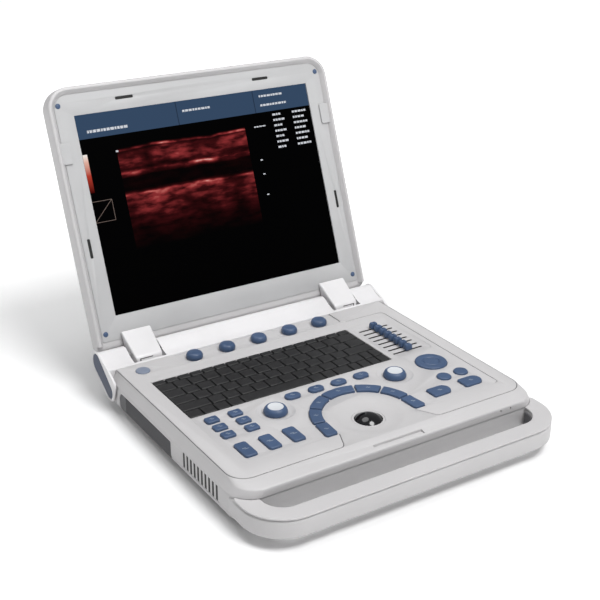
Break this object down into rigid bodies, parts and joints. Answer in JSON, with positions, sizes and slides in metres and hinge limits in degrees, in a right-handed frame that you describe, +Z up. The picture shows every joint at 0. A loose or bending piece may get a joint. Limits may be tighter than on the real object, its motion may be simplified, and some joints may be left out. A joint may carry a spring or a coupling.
{
  "type": "portable ultrasound scanner",
  "caption": "Laptop-style portable ultrasound scanner: hinged display lid, control deck with keyboard, trackball, sliders and knobs, and a front carry handle.",
  "frame": {"origin": "centre of the bounding box's bottom face, on the table, with the lid open as stored", "axes": "+X to the user's right, +Y away from the user towards the lid, +Z up; the user looks along +Y"},
  "size_m": [0.3728, 0.4896, 0.3283],
  "materials": {
    "shell_grey": "light grey moulded plastic, satin",
    "barrel_white": "white moulded plastic, satin",
    "bezel_grey": "mid grey moulded plastic, fine texture",
    "control_blue": "slate blue moulded silicone and plastic, satin",
    "power_blue": "pale slate blue, satin",
    "cap_navy": "dark navy moulded plastic",
    "key_black": "black matt plastic",
    "ball_black": "polished black phenolic",
    "screen_glass": "black display, lit picture on its face",
    "board_green": "circuit board with its metal screens",
    "battery_case": "wrapped cell pack",
    "foot_rubber": "matt rubber",
    "knob_silver": "silver painted plastic",
    "grille_dark": "dark grey vent plastic"
  },
  "bodies": {
    "base": {"battery_pack": "battery_case", "end_cap_left": "cap_navy", "end_cap_right": "cap_navy", "foot_left": "foot_rubber", "foot_right": "foot_rubber", "handle_trim": "shell_grey", "key_block": "key_black", "lower_housing": "shell_grey", "main_board": "board_green", "rear_barrel": "barrel_white", "top_cover": "shell_grey", "trackball_ring": "shell_grey"},
    "lid": {"lid_shell": "shell_grey", "lid_bezel": "bezel_grey", "display_panel": "screen_glass", "hinge_cover_left": "barrel_white", "hinge_cover_right": "barrel_white"},
    "arch_key_1": {"arch_key_1": "control_blue"},
    "arch_key_2": {"arch_key_2": "control_blue"},
    "arch_key_3": {"arch_key_3": "control_blue"},
    "arch_key_4": {"arch_key_4": "control_blue"},
    "arch_key_5": {"arch_key_5": "control_blue"},
    "arch_key_6": {"arch_key_6": "control_blue"},
    "arch_key_7": {"arch_key_7": "control_blue"},
    "d_key_1": {"d_key_1": "control_blue"},
    "d_key_2": {"d_key_2": "control_blue"},
    "four_way_pad": {"four_way_pad": "control_blue"},
    "long_key_1": {"long_key_1": "control_blue"},
    "long_key_2": {"long_key_2": "control_blue"},
    "long_key_3": {"long_key_3": "control_blue"},
    "menu_knob_1": {"menu_knob_1": "control_blue"},
    "menu_knob_2": {"menu_knob_2": "control_blue"},
    "menu_knob_3": {"menu_knob_3": "control_blue"},
    "menu_knob_4": {"menu_knob_4": "control_blue"},
    "menu_knob_5": {"menu_knob_5": "control_blue"},
    "oval_key_1": {"oval_key_1": "control_blue"},
    "oval_key_2": {"oval_key_2": "control_blue"},
    "oval_key_3": {"oval_key_3": "control_blue"},
    "oval_key_4": {"oval_key_4": "control_blue"},
    "power_button": {"power_button": "power_blue"},
    "rotary_knob_left": {"rotary_knob_left": "control_blue"},
    "rotary_knob_right": {"rotary_knob_right": "control_blue"},
    "round_button_1": {"round_button_1": "control_blue"},
    "round_button_2": {"round_button_2": "control_blue"},
    "small_key_1": {"small_key_1": "control_blue"},
    "small_key_2": {"small_key_2": "control_blue"},
    "small_key_3": {"small_key_3": "control_blue"},
    "small_key_4": {"small_key_4": "control_blue"},
    "small_key_5": {"small_key_5": "control_blue"},
    "small_key_6": {"small_key_6": "control_blue"},
    "tgc_slider_1": {"tgc_slider_1": "control_blue"},
    "tgc_slider_2": {"tgc_slider_2": "control_blue"},
    "tgc_slider_3": {"tgc_slider_3": "control_blue"},
    "tgc_slider_4": {"tgc_slider_4": "control_blue"},
    "tgc_slider_5": {"tgc_slider_5": "control_blue"},
    "tgc_slider_6": {"tgc_slider_6": "control_blue"},
    "tgc_slider_7": {"tgc_slider_7": "control_blue"},
    "tgc_slider_8": {"tgc_slider_8": "control_blue"},
    "trackball": {"trackball": "ball_black"}
  },
  "joints": [
    {"name": "lid_hinge", "type": "hinge", "parent": "base", "child": "lid", "pos_m": [0, 0.1072, 0.048], "axis": [1, 0, 0], "range_deg": [-9, 111]},
    {"name": "arch_key_1_push", "type": "slide", "parent": "base", "child": "arch_key_1", "axis": [0, 0, -1], "range_m": [0, 0.0012], "stiffness_N_per_m": 600},
    {"name": "arch_key_2_push", "type": "slide", "parent": "base", "child": "arch_key_2", "axis": [0, 0, -1], "range_m": [0, 0.0012], "stiffness_N_per_m": 600},
    {"name": "arch_key_3_push", "type": "slide", "parent": "base", "child": "arch_key_3", "axis": [0, 0, -1], "range_m": [0, 0.0012], "stiffness_N_per_m": 600},
    {"name": "arch_key_4_push", "type": "slide", "parent": "base", "child": "arch_key_4", "axis": [0, 0, -1], "range_m": [0, 0.0012], "stiffness_N_per_m": 600},
    {"name": "arch_key_5_push", "type": "slide", "parent": "base", "child": "arch_key_5", "axis": [0, 0, -1], "range_m": [0, 0.0012], "stiffness_N_per_m": 600},
    {"name": "arch_key_6_push", "type": "slide", "parent": "base", "child": "arch_key_6", "axis": [0, 0, -1], "range_m": [0, 0.0012], "stiffness_N_per_m": 600},
    {"name": "arch_key_7_push", "type": "slide", "parent": "base", "child": "arch_key_7", "axis": [0, 0, -1], "range_m": [0, 0.0012], "stiffness_N_per_m": 600},
    {"name": "d_key_1_push", "type": "slide", "parent": "base", "child": "d_key_1", "axis": [0, 0, -1], "range_m": [0, 0.0012], "stiffness_N_per_m": 600},
    {"name": "d_key_2_push", "type": "slide", "parent": "base", "child": "d_key_2", "axis": [0, 0, -1], "range_m": [0, 0.0012], "stiffness_N_per_m": 600},
    {"name": "four_way_pad_push", "type": "slide", "parent": "base", "child": "four_way_pad", "axis": [0, 0, -1], "range_m": [0, 0.001], "stiffness_N_per_m": 600},
    {"name": "long_key_1_push", "type": "slide", "parent": "base", "child": "long_key_1", "axis": [0, 0, -1], "range_m": [0, 0.0012], "stiffness_N_per_m": 600},
    {"name": "long_key_2_push", "type": "slide", "parent": "base", "child": "long_key_2", "axis": [0, 0, -1], "range_m": [0, 0.0012], "stiffness_N_per_m": 600},
    {"name": "long_key_3_push", "type": "slide", "parent": "base", "child": "long_key_3", "axis": [0, 0, -1], "range_m": [0, 0.0012], "stiffness_N_per_m": 600},
    {"name": "menu_knob_1_turn", "type": "hinge", "parent": "base", "child": "menu_knob_1", "pos_m": [-0.0886, 0.0672, 0.048], "axis": [0, 0, 1], "continuous": true},
    {"name": "menu_knob_2_turn", "type": "hinge", "parent": "base", "child": "menu_knob_2", "pos_m": [-0.047, 0.0672, 0.048], "axis": [0, 0, 1], "continuous": true},
    {"name": "menu_knob_3_turn", "type": "hinge", "parent": "base", "child": "menu_knob_3", "pos_m": [-0.0054, 0.0672, 0.048], "axis": [0, 0, 1], "continuous": true},
    {"name": "menu_knob_4_turn", "type": "hinge", "parent": "base", "child": "menu_knob_4", "pos_m": [0.0362, 0.0672, 0.048], "axis": [0, 0, 1], "continuous": true},
    {"name": "menu_knob_5_turn", "type": "hinge", "parent": "base", "child": "menu_knob_5", "pos_m": [0.0778, 0.0672, 0.048], "axis": [0, 0, 1], "continuous": true},
    {"name": "oval_key_1_push", "type": "slide", "parent": "base", "child": "oval_key_1", "axis": [0, 0, -1], "range_m": [0, 0.0012], "stiffness_N_per_m": 600},
    {"name": "oval_key_2_push", "type": "slide", "parent": "base", "child": "oval_key_2", "axis": [0, 0, -1], "range_m": [0, 0.0012], "stiffness_N_per_m": 600},
    {"name": "oval_key_3_push", "type": "slide", "parent": "base", "child": "oval_key_3", "axis": [0, 0, -1], "range_m": [0, 0.0012], "stiffness_N_per_m": 600},
    {"name": "oval_key_4_push", "type": "slide", "parent": "base", "child": "oval_key_4", "axis": [0, 0, -1], "range_m": [0, 0.0012], "stiffness_N_per_m": 600},
    {"name": "power_button_push", "type": "slide", "parent": "base", "child": "power_button", "axis": [0, 0, -1], "range_m": [0, 0.001], "stiffness_N_per_m": 600},
    {"name": "rotary_knob_left_turn", "type": "hinge", "parent": "base", "child": "rotary_knob_left", "pos_m": [-0.0758, -0.0858, 0.048], "axis": [0, 0, 1], "continuous": true},
    {"name": "rotary_knob_right_turn", "type": "hinge", "parent": "base", "child": "rotary_knob_right", "pos_m": [0.0758, -0.0858, 0.048], "axis": [0, 0, 1], "continuous": true},
    {"name": "round_button_1_push", "type": "slide", "parent": "base", "child": "round_button_1", "axis": [0, 0, -1], "range_m": [0, 0.0012], "stiffness_N_per_m": 600},
    {"name": "round_button_2_push", "type": "slide", "parent": "base", "child": "round_button_2", "axis": [0, 0, -1], "range_m": [0, 0.0012], "stiffness_N_per_m": 600},
    {"name": "small_key_1_push", "type": "slide", "parent": "base", "child": "small_key_1", "axis": [0, 0, -1], "range_m": [0, 0.0012], "stiffness_N_per_m": 600},
    {"name": "small_key_2_push", "type": "slide", "parent": "base", "child": "small_key_2", "axis": [0, 0, -1], "range_m": [0, 0.0012], "stiffness_N_per_m": 600},
    {"name": "small_key_3_push", "type": "slide", "parent": "base", "child": "small_key_3", "axis": [0, 0, -1], "range_m": [0, 0.0012], "stiffness_N_per_m": 600},
    {"name": "small_key_4_push", "type": "slide", "parent": "base", "child": "small_key_4", "axis": [0, 0, -1], "range_m": [0, 0.0012], "stiffness_N_per_m": 600},
    {"name": "small_key_5_push", "type": "slide", "parent": "base", "child": "small_key_5", "axis": [0, 0, -1], "range_m": [0, 0.0012], "stiffness_N_per_m": 600},
    {"name": "small_key_6_push", "type": "slide", "parent": "base", "child": "small_key_6", "axis": [0, 0, -1], "range_m": [0, 0.0012], "stiffness_N_per_m": 600},
    {"name": "tgc_slider_1_slide", "type": "slide", "parent": "base", "child": "tgc_slider_1", "axis": [1, 0, 0], "range_m": [-0.015, 0.015]},
    {"name": "tgc_slider_2_slide", "type": "slide", "parent": "base", "child": "tgc_slider_2", "axis": [1, 0, 0], "range_m": [-0.015, 0.015]},
    {"name": "tgc_slider_3_slide", "type": "slide", "parent": "base", "child": "tgc_slider_3", "axis": [1, 0, 0], "range_m": [-0.015, 0.015]},
    {"name": "tgc_slider_4_slide", "type": "slide", "parent": "base", "child": "tgc_slider_4", "axis": [1, 0, 0], "range_m": [-0.015, 0.015]},
    {"name": "tgc_slider_5_slide", "type": "slide", "parent": "base", "child": "tgc_slider_5", "axis": [1, 0, 0], "range_m": [-0.015, 0.015]},
    {"name": "tgc_slider_6_slide", "type": "slide", "parent": "base", "child": "tgc_slider_6", "axis": [1, 0, 0], "range_m": [-0.015, 0.015]},
    {"name": "tgc_slider_7_slide", "type": "slide", "parent": "base", "child": "tgc_slider_7", "axis": [1, 0, 0], "range_m": [-0.015, 0.015]},
    {"name": "tgc_slider_8_slide", "type": "slide", "parent": "base", "child": "tgc_slider_8", "axis": [1, 0, 0], "range_m": [-0.015, 0.015]},
    {"name": "trackball_roll", "type": "hinge", "parent": "base", "child": "trackball", "pos_m": [0, -0.1428, 0.03], "axis": [1, 0, 0], "continuous": true}
  ]
}
